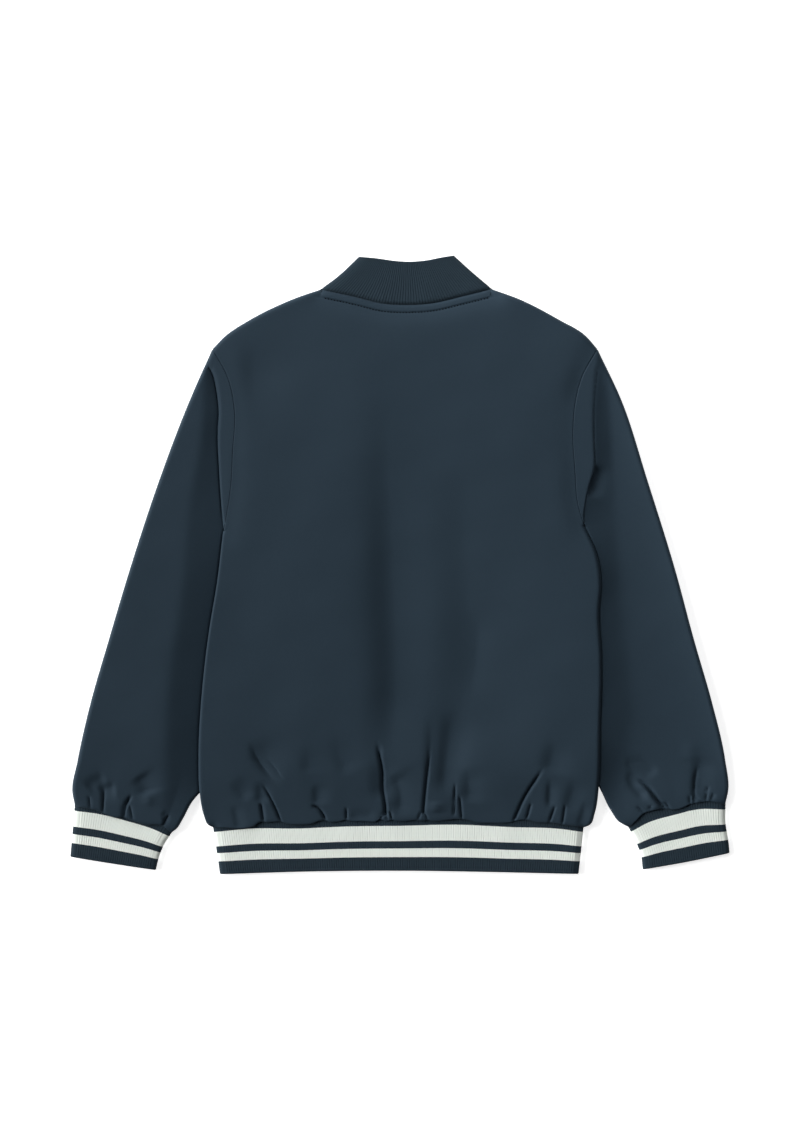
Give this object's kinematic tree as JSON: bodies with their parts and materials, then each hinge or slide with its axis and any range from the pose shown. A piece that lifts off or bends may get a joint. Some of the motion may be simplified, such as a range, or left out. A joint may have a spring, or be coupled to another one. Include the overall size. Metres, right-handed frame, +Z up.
{
  "type": "outdoor jacket",
  "caption": "Child's zip jacket laid flat with its back up: plain navy cloth, ribbed stand collar, and striped ribbed cuffs and hem band.",
  "frame": {"origin": "under the middle of the jacket's bounding box, on the surface it lies on", "axes": "+X across the laid-out sleeves, to the right as seen from above, +Y from the hem to the collar, +Z up, out of the jacket's back"},
  "size_m": [0.627, 0.5891, 0.0109],
  "materials": {
    "navy_cloth": "matt dark navy woven cloth, lightly padded",
    "navy_rib": "matt dark navy ribbed knit",
    "striped_rib": "matt ribbed knit, dark navy with a wide and a medium off-white stripe",
    "zip_tape": "matt woven tape",
    "zip_metal": "satin"
  },
  "bodies": {
    "jacket": {"back": "navy_cloth", "front_left": "navy_cloth", "front_right": "navy_cloth", "sleeve_left": "navy_cloth", "sleeve_right": "navy_cloth", "collar": "navy_rib", "hem_band": "striped_rib", "cuff_left": "striped_rib", "cuff_right": "striped_rib", "zip_tape_left": "zip_tape", "zip_tape_right": "zip_tape", "zip_chain": "zip_metal", "zip_box": "zip_metal", "zip_slider": "zip_metal"},
    "pull": {"zip_pull": "zip_metal"}
  },
  "joints": [
    {"name": "pull_swing", "type": "hinge", "parent": "jacket", "child": "pull", "pos_m": [0.0039, 0.2133, 0.0012], "axis": [1, 0, 0], "range_deg": [0, 120]}
  ]
}
